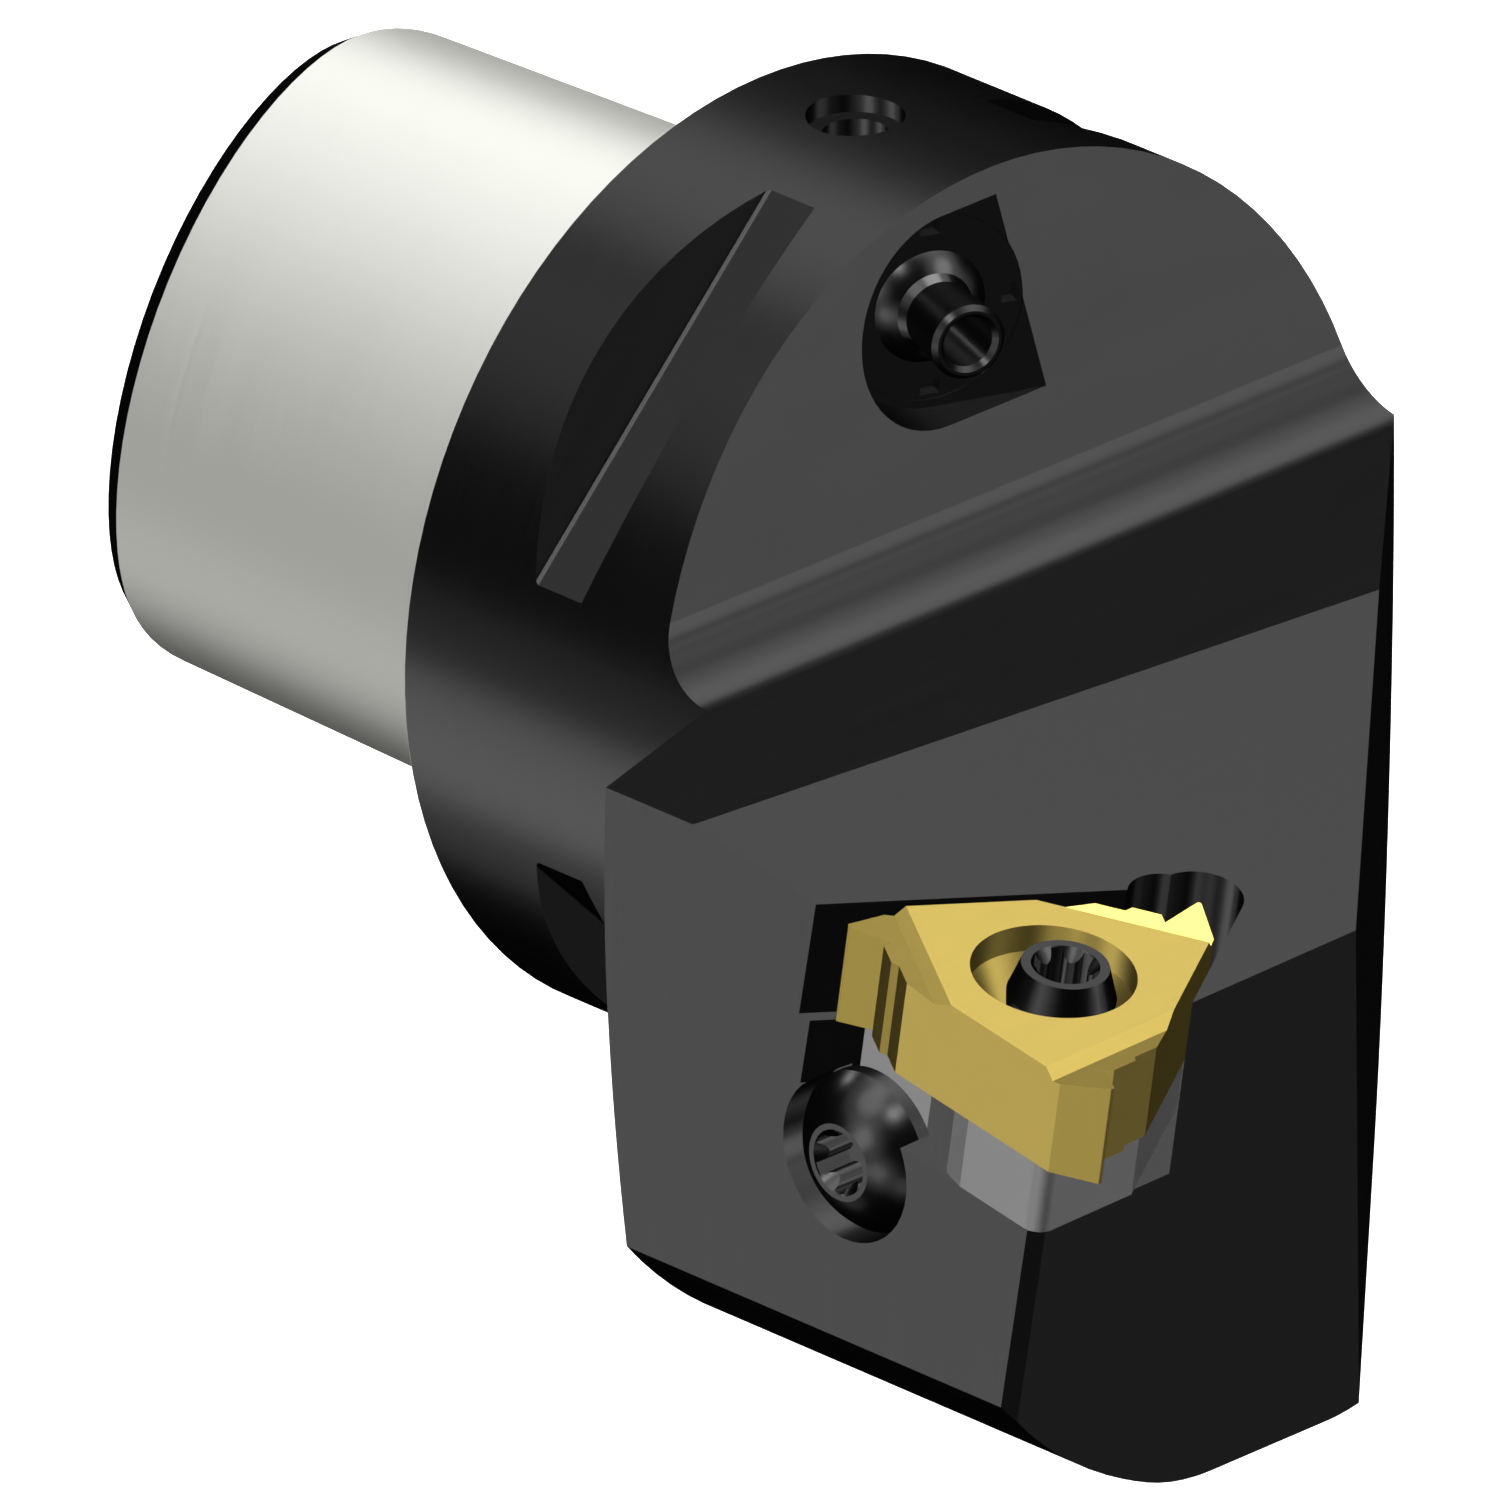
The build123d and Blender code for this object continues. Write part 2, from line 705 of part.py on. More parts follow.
# Ring nut that holds the ball, with four notches for a pin wrench
with BuildPart() as nozzle_ring_nut:
    opening_r = nut_opening_d / 2
    cone_foot_r = nut_cone_foot_d / 2
    foot_height = cone_height(cone_foot_r, nut_cone_angle)
    with BuildSketch(axial(nozzle_plane)):
        Polygon(
            (opening_r, 0),
            (opening_r, -nut_lip),
            (cone_foot_r, foot_height - pivot_depth),
            (cone_foot_r, -nut_depth),
            (nut_outer_r, -nut_depth),
            (nut_outer_r, 0),
            align=None,
        )
    revolve(axis=nozzle_line)
    with BuildSketch(nozzle_plane):
        with PolarLocations(nut_outer_r - notch_inset, notch_count):
            Rectangle(notch_length, notch_width)
    extrude(amount=-notch_depth, mode=Mode.SUBTRACT)


# Seal ring behind the ball, with a conical seat
with BuildPart() as nozzle_seal_ring:
    with BuildSketch(axial(pivot_plane)):
        Polygon(
            (seal_top_r, -seal_top),
            (seal_bore_d / 2, -seal_land_top),
            (seal_bore_d / 2, -seal_land_top - seal_land),
            (seal_outer_r, -seal_land_top - seal_land),
            (seal_outer_r, -seal_top),
            align=None,
        )
    revolve(axis=nozzle_line)


# Plug screw in the mouth of the radial coolant channel
with BuildPart() as channel_plug_screw:
    plug_r = channel_d / 2 - plug_play
    with BuildSketch(Plane.XY.offset(flange_r - channel_mouth_depth - plug_below_step)):
        with Locations((channel_x, 0)):
            Circle(plug_r)
    extrude(amount=-plug_length)
    with BuildSketch(Plane.XY.offset(flange_r - channel_mouth_depth - plug_below_step)):
        with Locations((channel_x, 0)):
            RegularPolygon(plug_socket_flats / 2, plug_socket_sides, major_radius=False)
    extrude(amount=-plug_socket_depth, mode=Mode.SUBTRACT)


os.makedirs("parts", exist_ok=True)
pieces = {
    "head_body": head_body,
    "threading_insert": threading_insert,
    "insert_screw": insert_screw,
    "shim": shim,
    "shim_screw": shim_screw,
    "coolant_nozzle": coolant_nozzle,
    "nozzle_ring_nut": nozzle_ring_nut,
    "nozzle_seal_ring": nozzle_seal_ring,
    "channel_plug_screw": channel_plug_screw,
}
for name, piece in pieces.items():
    piece.part.label = name
    export_step(piece.part, f"parts/{name}.step")
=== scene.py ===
# Threading head for a lathe, on a polygon taper shank: a three-tip insert, its shim, their screws and the
# coolant nozzle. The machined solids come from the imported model. This file gives them their finishes,
# cuts the screw threads and adds the small fillets at the feet of the gripper grooves.
import bmesh
import bpy
import json
from math import cos, pi, radians, sin, sqrt, tan
from mathutils import Matrix, Vector
from mathutils.kdtree import KDTree


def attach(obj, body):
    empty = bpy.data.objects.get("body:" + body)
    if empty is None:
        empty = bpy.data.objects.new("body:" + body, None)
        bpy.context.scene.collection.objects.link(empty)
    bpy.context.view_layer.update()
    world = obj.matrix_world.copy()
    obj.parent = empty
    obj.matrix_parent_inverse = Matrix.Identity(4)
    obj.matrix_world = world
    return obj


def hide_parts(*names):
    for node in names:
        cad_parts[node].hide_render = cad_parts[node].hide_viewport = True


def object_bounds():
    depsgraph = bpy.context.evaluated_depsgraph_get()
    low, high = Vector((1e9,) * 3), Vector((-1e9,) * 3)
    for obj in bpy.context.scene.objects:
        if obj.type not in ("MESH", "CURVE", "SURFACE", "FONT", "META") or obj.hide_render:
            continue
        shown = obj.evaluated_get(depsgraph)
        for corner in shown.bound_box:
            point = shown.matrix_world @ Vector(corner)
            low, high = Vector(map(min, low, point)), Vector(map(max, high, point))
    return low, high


bl_info = {
    "name": "Threading head",
    "version": (1, 0, 0),
    "blender": (4, 5, 0),
    "location": "3D View > Sidebar > Threading head",
    "description": "Finishes, threads and studio of a threading tool holder on a polygon taper shank",
    "category": "Object",
}

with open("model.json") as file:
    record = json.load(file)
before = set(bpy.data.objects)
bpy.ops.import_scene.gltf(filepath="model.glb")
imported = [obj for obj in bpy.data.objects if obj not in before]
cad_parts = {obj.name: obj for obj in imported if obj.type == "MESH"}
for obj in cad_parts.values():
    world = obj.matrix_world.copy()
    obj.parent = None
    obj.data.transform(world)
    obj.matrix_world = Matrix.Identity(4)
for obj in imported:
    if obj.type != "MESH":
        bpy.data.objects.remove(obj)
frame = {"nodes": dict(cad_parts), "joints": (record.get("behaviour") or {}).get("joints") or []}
CAD_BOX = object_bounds()
MM = 0.001

# Places that the CAD gives, with lengths in metres and angles in degrees. The ground part of the shank
# lies between its chamfered back and a plane just past the contact face, outside the radius given here.
FLANGE_R = 25.0 * MM
SHANK_BACK_X = -28.75 * MM
PAST_CONTACT_FACE_X = 0.02 * MM
SHANK_INSIDE_R = 14.5 * MM
GROOVE_X = 9.7 * MM
GROOVE_HALF_WIDTH = 1.6 * MM
GROOVE_FLOOR_R = 22.2 * MM
GROOVE_LEAN = 33.5
CENTRE_THREAD_START = -11.2 * MM
CENTRE_THREAD_LENGTH = 19.6 * MM
# For each clamping screw: its node, its body, its joint, the depth of its tip below the joint and its
# thread's length
CLAMPING_SCREWS = (
    ("insert_screw", "insert_clamp_screw", "insert_screw_turn", 16.56 * MM, 6.6 * MM),
    ("shim_screw", "shim_clamp_screw", "shim_screw_turn", 10.0 * MM, 8.6 * MM),
)
# The nozzle's axis lies level, turned by this angle from the shank's
NOZZLE_TURN = -20.8

# Radius of the fillet at the foot of a gripper groove, and its facets
GROOVE_FILLET_R = 0.40 * MM
GROOVE_FILLET_STEPS = 6

# Thread forms. A metric thread's flank stands at 60 degrees to the screw's axis, and its depth and the
# width of its crest are shares of the pitch. The crests of the screws lie outside the solid, so that its
# own surface cuts them.
FLANK_ANGLE = 60.0
HOLE_DEPTH_SHARE = 0.7
HOLE_CREST_SHARE = 0.125
HOLE_FACETS = {"Round steps": 72, "Rows": 157}
SCREW_DEPTH_SHARE = 0.6134
SCREW_CREST_SHARE = 0.04
SCREW_FACETS = {"Round steps": 40, "Rows": 260}
SCREW_EXCESS = 0.05 * MM
SCREW_TIP_EXCESS = 0.005 * MM
SCREW_HEAD_R = 5.0 * MM
SCREW_FORM_LENGTH = 20.0 * MM

# Edges sharper than this angle stay sharp, and points nearer than these distances are one
SHARP_ANGLE = 22.0
SAME_VERTEX = 0.0001 * MM
SAME_PLACE = 0.001 * MM

# Height of the marks in the finishes, before their strength, and the two values that their noise stays
# between nearly everywhere
MARK_HEIGHT = 0.02 * MM
MARKS_LOW = 0.25
MARKS_HIGH = 0.75

# Refraction of the oiled oxide film, and roughness of the seal's rubber
OXIDE_IOR = 1.52
RUBBER_ROUGHNESS = 0.75


def linear(hex_colour):
    """An sRGB hex colour as linear RGBA."""
    shares = [int(hex_colour[i:i + 2], 16) / 255 for i in (1, 3, 5)]
    return tuple(c / 12.92 if c <= 0.04045 else ((c + 0.055) / 1.055) ** 2.4 for c in shares) + (1.0,)


class HolderFinishSettings(bpy.types.PropertyGroup):
    """Colours and gloss of the surfaces"""
    oxide_colour: bpy.props.FloatVectorProperty(
        name="Black oxide", description="Colour of the blackened steel", subtype="COLOR",
        size=3, min=0, max=1, default=linear("#030303")[:3])
    oxide_roughness: bpy.props.FloatProperty(
        name="Black oxide roughness", description="Roughness of the blackened steel",
        subtype="FACTOR", min=0, max=1, default=0.25)
    shank_colour: bpy.props.FloatVectorProperty(
        name="Ground shank", description="Colour of the ground steel", subtype="COLOR",
        size=3, min=0, max=1, default=linear("#d5d6d0")[:3])
    shank_roughness: bpy.props.FloatProperty(
        name="Shank roughness", description="Roughness of the ground steel",
        subtype="FACTOR", min=0, max=1, default=0.555)
    coating_colour: bpy.props.FloatVectorProperty(
        name="Insert coating", description="Colour of the coated carbide", subtype="COLOR",
        size=3, min=0, max=1, default=linear("#c1aa57")[:3])
    coating_roughness: bpy.props.FloatProperty(
        name="Coating roughness", description="Roughness of the coated carbide",
        subtype="FACTOR", min=0, max=1, default=0.378)
    carbide_colour: bpy.props.FloatVectorProperty(
        name="Shim", description="Colour of the bare carbide", subtype="COLOR",
        size=3, min=0, max=1, default=linear("#a6a6a6")[:3])
    carbide_roughness: bpy.props.FloatProperty(
        name="Shim roughness", description="Roughness of the bare carbide",
        subtype="FACTOR", min=0, max=1, default=0.5)


class HolderThreadSettings(bpy.types.PropertyGroup):
    """Sizes of the threads"""
    centre_diameter: bpy.props.FloatProperty(
        name="Centre thread", description="Outer diameter of the centre thread", subtype="DISTANCE",
        unit="LENGTH", min=0.0155, max=0.0165, default=0.016)
    centre_pitch: bpy.props.FloatProperty(
        name="Centre pitch", description="Pitch of the centre thread", subtype="DISTANCE",
        unit="LENGTH", min=0.001, max=0.002, default=0.0015)
    screw_diameter: bpy.props.FloatProperty(
        name="Screw thread", description="Outer diameter of the clamping screws", subtype="DISTANCE",
        unit="LENGTH", min=0.0038, max=0.004, default=0.004)
    screw_pitch: bpy.props.FloatProperty(
        name="Screw pitch", description="Pitch of the clamping screws", subtype="DISTANCE",
        unit="LENGTH", min=0.0005, max=0.001, default=0.0007)


class HolderStudioSettings(bpy.types.PropertyGroup):
    """Strengths of the studio's lights"""
    level: bpy.props.FloatProperty(
        name="Light level", description="Share of the full strength of all lights",
        subtype="FACTOR", min=0, max=3, default=1.0)
    floor_level: bpy.props.FloatProperty(
        name="Floor glow", description="Own light of the white floor", min=0, max=2, default=0.8)


def add_node(tree, kind, settings=None, **links):
    """Adds one node. Settings are its own properties. Links are values or other nodes' outputs, by the
    input's name, or by its number after an i."""
    node = tree.nodes.new(kind)
    for key, value in (settings or {}).items():
        setattr(node, key, value)
    for name, value in links.items():
        numbered = name[0] == "i" and name[1:].isdigit()
        socket = node.inputs[int(name[1:]) if numbered else name.replace("_", " ")]
        if isinstance(value, bpy.types.NodeSocket):
            tree.links.new(value, socket)
        else:
            socket.default_value = value
    return node


def new_material(name):
    """An empty node material with its output node."""
    material = bpy.data.materials.new(name)
    material.use_nodes = True
    material.node_tree.nodes.clear()
    return material, material.node_tree, material.node_tree.nodes.new("ShaderNodeOutputMaterial")


def machined(tree, colour, roughness, spacing, stretch, relief, colour_spread, gloss_spread,
             turn=(0.0, 0.0, 0.0), **sockets):
    """The shader of a machined surface. Its fine parallel marks, with spacing along X and stretch in the
    other directions, vary its colour and its gloss and give it a slight relief."""
    coords = add_node(tree, "ShaderNodeTexCoord").outputs["Object"]
    turned = add_node(tree, "ShaderNodeMapping", {"vector_type": "TEXTURE"}, Vector=coords, Rotation=turn)
    laid = add_node(tree, "ShaderNodeMapping", Vector=turned.outputs[0],
                    Scale=(1 / spacing, 1 / stretch, 1 / stretch))
    marks = add_node(tree, "ShaderNodeTexNoise", Vector=laid.outputs[0], Scale=1.0, Detail=3.0,
                     Roughness=0.55).outputs[0]
    dark = tuple(c * (1 - colour_spread) for c in colour[:3]) + (1.0,)
    light = tuple(min(1.0, c * (1 + colour_spread)) for c in colour[:3]) + (1.0,)
    tone = add_node(tree, "ShaderNodeMix", {"data_type": "RGBA"}, i0=marks, i6=dark, i7=light)
    gloss = add_node(tree, "ShaderNodeMapRange", i0=marks, i1=MARKS_LOW, i2=MARKS_HIGH,
                     i3=roughness - gloss_spread, i4=roughness + gloss_spread)
    bump = add_node(tree, "ShaderNodeBump", Strength=relief, Distance=MARK_HEIGHT, Height=marks)
    return add_node(tree, "ShaderNodeBsdfPrincipled", Base_Color=tone.outputs[2], Roughness=gloss.outputs[0],
                    Normal=bump.outputs[0], **sockets)


def plain_finish(name, colour, roughness, **surface):
    """The material of a piece that is machined all over in one way."""
    material, tree, out = new_material(name)
    tree.links.new(machined(tree, colour, roughness, **surface).outputs[0], out.inputs["Surface"])
    return material


def head_finish(settings):
    """Alloy steel, milled and turned, then blackened: a thin oiled oxide film that looks nearly black with a
    soft sheen. The taper shank and the flange's contact face are ground afterwards, so they are bright and
    satin."""
    material, tree, out = new_material("black_oxide_and_ground_steel")
    # Feed marks of the milling, some 0.1 mm apart, are too fine to show and drawn at 0.35 mm
    oxide = machined(tree, tuple(settings.oxide_colour), settings.oxide_roughness, spacing=0.35 * MM,
                     stretch=12 * MM, relief=0.03, colour_spread=0.15, gloss_spread=0.012, IOR=OXIDE_IOR)
    # Grinding scratches are some 0.02 mm apart and drawn at 0.22 mm
    bright = machined(tree, tuple(settings.shank_colour), settings.shank_roughness, spacing=0.22 * MM,
                      stretch=20 * MM, relief=0.05, colour_spread=0.015, gloss_spread=0.02, Metallic=1.0)
    place = add_node(tree, "ShaderNodeTexCoord").outputs["Object"]
    split = add_node(tree, "ShaderNodeSeparateXYZ", i0=place)
    flat = add_node(tree, "ShaderNodeVectorMath", {"operation": "MULTIPLY"}, i0=place, i1=(0.0, 1.0, 1.0))
    radius = add_node(tree, "ShaderNodeVectorMath", {"operation": "LENGTH"}, i0=flat.outputs[0])
    ground = None
    for socket, kind, limit in ((split.outputs["X"], "LESS_THAN", PAST_CONTACT_FACE_X),
                                (split.outputs["X"], "GREATER_THAN", SHANK_BACK_X),
                                (radius.outputs["Value"], "GREATER_THAN", SHANK_INSIDE_R)):
        test = add_node(tree, "ShaderNodeMath", {"operation": kind}, i0=socket, i1=limit).outputs[0]
        ground = test if ground is None else add_node(
            tree, "ShaderNodeMath", {"operation": "MULTIPLY"}, i0=ground, i1=test).outputs[0]
    mix = add_node(tree, "ShaderNodeMixShader", i0=ground, i1=oxide.outputs[0], i2=bright.outputs[0])
    tree.links.new(mix.outputs[0], out.inputs["Surface"])
    return material


def dress(node, material):
    """Gives a CAD node its material."""
    obj = frame["nodes"][node]
    obj.data.materials.clear()
    obj.data.materials.append(material)
    obj.visible_glossy = False


def finished(name, mesh, body, material):
    """An object from a mesh whose place is in its vertices, riding on its body."""
    mesh.name = name
    piece = bpy.data.objects.new(name, mesh)
    bpy.context.scene.collection.objects.link(piece)
    mesh.materials.clear()
    mesh.materials.append(material)
    piece.visible_glossy = False
    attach(piece, body)
    return piece


class HOLDER_OT_finishes(bpy.types.Operator):
    """Gives every machined piece its finish"""
    bl_idname = "holder.finishes"
    bl_label = "Finishes"

    def execute(self, context):
        s = context.scene.holder_finishes
        dress("head_body", head_finish(s))
        # Cemented carbide with a ground form and a thin gold-coloured coating: warm and satin. Its
        # grinding lines are some 0.02 mm apart and drawn at 0.18 mm.
        dress("threading_insert", plain_finish(
            "coated_carbide_ground", tuple(s.coating_colour), s.coating_roughness, spacing=0.18 * MM,
            stretch=6 * MM, relief=0.02, colour_spread=0.03, gloss_spread=0.03 * s.coating_roughness,
            Metallic=1.0))
        # Bare cemented carbide, ground flat: even grey with a dull shine, and with the same lines
        dress("shim", plain_finish(
            "bare_carbide_ground", tuple(s.carbide_colour), s.carbide_roughness, spacing=0.20 * MM,
            stretch=4 * MM, relief=0.02, colour_spread=0.05, gloss_spread=0.05 * s.carbide_roughness,
            Metallic=1.0))
        # Alloy steel screws, turned and blackened: the same film as on the head. Their turning marks are some
        # 0.05 mm apart and drawn at 0.3 mm.
        screw = plain_finish(
            "black_oxide_screw_turned", tuple(s.oxide_colour), s.oxide_roughness, spacing=0.30 * MM,
            stretch=3 * MM, relief=0.02, colour_spread=0.06, gloss_spread=0.06 * s.oxide_roughness,
            IOR=OXIDE_IOR)
        for node in ("insert_screw", "shim_screw", "channel_plug_screw"):
            dress(node, screw)
        # Nozzle and ring nut: turned from bar and blackened. The marks run round the nozzle's axis, some
        # 0.05 mm apart, and are drawn at 0.25 mm.
        turned = plain_finish(
            "black_oxide_nozzle_turned", tuple(s.oxide_colour), s.oxide_roughness, spacing=0.25 * MM,
            stretch=4 * MM, relief=0.05, colour_spread=0.06, gloss_spread=0.06 * s.oxide_roughness,
            turn=(0.0, 0.0, radians(NOZZLE_TURN)), IOR=OXIDE_IOR)
        for node in ("coolant_nozzle", "nozzle_ring_nut"):
            dress(node, turned)
        # Nitrile rubber, moulded: dull black, with the fine grain of its mould
        dress("nozzle_seal_ring", plain_finish(
            "nitrile_rubber_moulded", linear("#141414")[:3], RUBBER_ROUGHNESS, spacing=0.40 * MM,
            stretch=0.40 * MM, relief=0.02, colour_spread=0.06, gloss_spread=0.06 * RUBBER_ROUGHNESS))
        return {"FINISHED"}


def thread_form():
    """A node tree that makes a threaded rod along Z, and its inputs' identifiers by name. Above the thread
    the rod is wide, so that it can also keep the head of a screw."""
    tree = bpy.data.node_groups.new("thread_form", "GeometryNodeTree")
    inputs = {}
    for name, kind in (
        ("Pitch", "Float"), ("Outer radius", "Float"), ("Core radius", "Float"), ("Wide radius", "Float"),
        ("Thread length", "Float"), ("Length", "Float"), ("Crest share", "Float"), ("Round steps", "Int"),
        ("Rows", "Int"), ("Material", "Material"),
    ):
        socket = tree.interface.new_socket(name, in_out="INPUT", socket_type="NodeSocket" + kind)
        inputs[name] = socket.identifier
    tree.interface.new_socket("Geometry", in_out="OUTPUT", socket_type="NodeSocketGeometry")
    given = tree.nodes.new("NodeGroupInput").outputs

    rod = add_node(tree, "GeometryNodeMeshCylinder", Vertices=given["Round steps"],
                   Side_Segments=given["Rows"], Radius=1.0, Depth=given["Length"])
    place = add_node(tree, "ShaderNodeSeparateXYZ", i0=add_node(tree, "GeometryNodeInputPosition").outputs[0])
    values = {socket.name: socket for socket in list(given) + list(place.outputs) if socket.name}
    # Each row names a value, the sum that gives it and its two terms, which are numbers or earlier values
    for name, operation, first, second in (
        ("Half length", "MULTIPLY", "Length", 0.5),
        ("Along", "ADD", "Z", "Half length"),
        ("Angle", "ARCTAN2", "Y", "X"),
        ("Turn", "DIVIDE", "Angle", 2 * pi),
        ("Pitches along", "DIVIDE", "Along", "Pitch"),
        # Place within one turn of the helix: 0.5 is the middle of a crest, 0 and 1 are the middle of a root
        ("Past the helix", "SUBTRACT", "Pitches along", "Turn"),
        ("Above zero", "ADD", "Past the helix", 1.0),
        ("Phase", "FRACT", "Above zero", 0.0),
        ("From middle", "SUBTRACT", "Phase", 0.5),
        ("From crest", "ABSOLUTE", "From middle", 0.0),
        ("Half crest", "MULTIPLY", "Crest share", 0.5),
        ("Past crest", "SUBTRACT", "From crest", "Half crest"),
        # How far the flank falls from the crest towards the core
        ("Length past crest", "MULTIPLY", "Past crest", "Pitch"),
        ("On flank", "MAXIMUM", "Length past crest", 0.0),
        ("Fall", "MULTIPLY", "On flank", tan(radians(FLANK_ANGLE))),
        ("Flank", "SUBTRACT", "Outer radius", "Fall"),
        ("Profile", "MAXIMUM", "Flank", "Core radius"),
        # The thread rises from the core at both ends at 45 degrees, which also chamfers the end of a screw
        ("To end", "SUBTRACT", "Thread length", "Along"),
        ("To nearer end", "MINIMUM", "Along", "To end"),
        ("Rise", "MAXIMUM", "To nearer end", 0.0),
        ("End radius", "ADD", "Core radius", "Rise"),
        ("Thread", "MINIMUM", "Profile", "End radius"),
        # Past the thread the rod is wide
        ("Thread end", "ADD", "Thread length", SAME_PLACE),
        ("Beyond", "GREATER_THAN", "Along", "Thread end"),
        ("Widening", "SUBTRACT", "Wide radius", "Thread"),
        ("Step", "MULTIPLY", "Widening", "Beyond"),
        ("Radius", "ADD", "Thread", "Step"),
        ("New X", "MULTIPLY", "X", "Radius"),
        ("New Y", "MULTIPLY", "Y", "Radius"),
    ):
        values[name] = add_node(tree, "ShaderNodeMath", {"operation": operation},
                                i0=values.get(first, first), i1=values.get(second, second)).outputs[0]
    to = add_node(tree, "ShaderNodeCombineXYZ", i0=values["New X"], i1=values["New Y"], i2=values["Along"])
    shaped = add_node(tree, "GeometryNodeSetPosition", Geometry=rod.outputs["Mesh"], Position=to.outputs[0])
    real = add_node(tree, "GeometryNodeRealizeInstances", Geometry=shaped.outputs[0])
    dressed = add_node(tree, "GeometryNodeSetMaterial", Geometry=real.outputs[0], Material=given["Material"])
    out = tree.nodes.new("NodeGroupOutput")
    tree.links.new(dressed.outputs[0], out.inputs[0])
    return tree, inputs


def evaluated_mesh(obj):
    """The object's mesh with its modifiers applied; they are removed from the object."""
    graph = bpy.context.evaluated_depsgraph_get()
    mesh = bpy.data.meshes.new_from_object(obj.evaluated_get(graph), depsgraph=graph)
    obj.modifiers.clear()
    return mesh


def merged_copy(node):
    """The mesh of a CAD node with its loose triangles joined, without the normals that it came with."""
    source = bmesh.new()
    source.from_mesh(frame["nodes"][node].data)
    bmesh.ops.remove_doubles(source, verts=source.verts, dist=SAME_VERTEX)
    source.verts.index_update()
    mesh = bpy.data.meshes.new(node + "_joined")
    corners = [[vertex.index for vertex in face.verts] for face in source.faces]
    mesh.from_pydata([vertex.co.copy() for vertex in source.verts], [], corners)
    source.free()
    return mesh


def give_cad_normals(mesh, node):
    """Gives a cut copy the CAD node's own normals at the corners that they share, so that flats stay flat and
    curved faces smooth. Corners that the cut made are smooth between faces at less than the sharp angle."""
    source = frame["nodes"][node].data
    mesh.shade_smooth()
    mesh.set_sharp_from_angle(angle=radians(SHARP_ANGLE))
    places = KDTree(len(source.vertices))
    for vertex in source.vertices:
        places.insert(vertex.co, vertex.index)
    places.balance()
    normals_at = {}
    for loop, normal in zip(source.loops, source.corner_normals):
        normals_at[loop.vertex_index] = normal.vector.copy()
    own = [normal.vector.copy() for normal in mesh.corner_normals]
    for polygon in mesh.polygons:
        for index in polygon.loop_indices:
            place = mesh.vertices[mesh.loops[index].vertex_index].co
            found = [normals_at[k] for _, k, _ in places.find_range(place, SAME_PLACE) if k in normals_at]
            if found:
                best = max(found, key=polygon.normal.dot)
                if best.dot(polygon.normal) > cos(radians(SHARP_ANGLE)):
                    own[index] = best
    mesh.normals_split_custom_set(own)


def threaded(node, body, name, operation, origin, axis, sizes):
    """Cuts a thread into a copy of a CAD node, which then stands for it: a thread form taken away cuts a
    threaded hole, and one kept in common with a screw leaves the screw's thread."""
    scene = bpy.context.scene
    tree, inputs = thread_form()
    form = bpy.data.objects.new("thread_form", bpy.data.meshes.new("thread_form"))
    work = bpy.data.objects.new(name, merged_copy(node))
    scene.collection.objects.link(form)
    scene.collection.objects.link(work)
    nodes = form.modifiers.new("thread", "NODES")
    nodes.node_group = tree
    material = frame["nodes"][node].data.materials[0]
    for key, value in dict(sizes, Material=material).items():
        nodes[inputs[key]] = value
    form.data = evaluated_mesh(form)
    form.data.transform(Matrix.Translation(origin) @ axis.to_track_quat("Z", "Y").to_matrix().to_4x4())
    cut = work.modifiers.new("cut", "BOOLEAN")
    cut.operation = operation
    cut.solver = "EXACT"
    cut.object = form
    work.data = evaluated_mesh(work)
    bpy.data.objects.remove(form)
    check = bmesh.new()
    check.from_mesh(work.data)
    torn = sum(not edge.is_manifold for edge in check.edges)
    volume = check.calc_volume()
    check.free()
    if torn or volume <= 0:
        raise RuntimeError(f"the thread of {node} could not be cut: {torn} torn edges, volume {volume}")
    mesh = work.data
    bpy.data.objects.remove(work)
    give_cad_normals(mesh, node)
    piece = finished(name, mesh, body, material)
    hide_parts(node)
    return piece


class HOLDER_OT_threads(bpy.types.Operator):
    """Cuts the threads of the centre hole and of the two clamping screws"""
    bl_idname = "holder.threads"
    bl_label = "Threads"

    def execute(self, context):
        joints = {joint["name"]: joint for joint in frame["joints"]}
        s = context.scene.holder_threads
        start = Vector((CENTRE_THREAD_START, 0.0, 0.0))
        core = s.centre_diameter / 2 - HOLE_DEPTH_SHARE * s.centre_pitch
        threaded("head_body", "head", "head_body_threaded", "DIFFERENCE", start,
                 Vector((1.0, 0.0, 0.0)), {
                     "Pitch": s.centre_pitch, "Outer radius": s.centre_diameter / 2, "Core radius": core,
                     "Wide radius": core, "Thread length": CENTRE_THREAD_LENGTH,
                     "Length": CENTRE_THREAD_LENGTH, "Crest share": HOLE_CREST_SHARE, **HOLE_FACETS})
        for node, body, joint, depth, thread_length in CLAMPING_SCREWS:
            axis = Vector(joints[joint]["axis"]).normalized()
            tip = Vector(joints[joint]["pos_m"]) - axis * (depth + SCREW_TIP_EXCESS)
            threaded(node, body, node + "_threaded", "INTERSECT", tip, axis, {
                "Pitch": s.screw_pitch, "Outer radius": s.screw_diameter / 2 + SCREW_EXCESS,
                "Core radius": s.screw_diameter / 2 - SCREW_DEPTH_SHARE * s.screw_pitch,
                "Wide radius": SCREW_HEAD_R, "Thread length": thread_length, "Length": SCREW_FORM_LENGTH,
                "Crest share": SCREW_CREST_SHARE, **SCREW_FACETS})
        return {"FINISHED"}


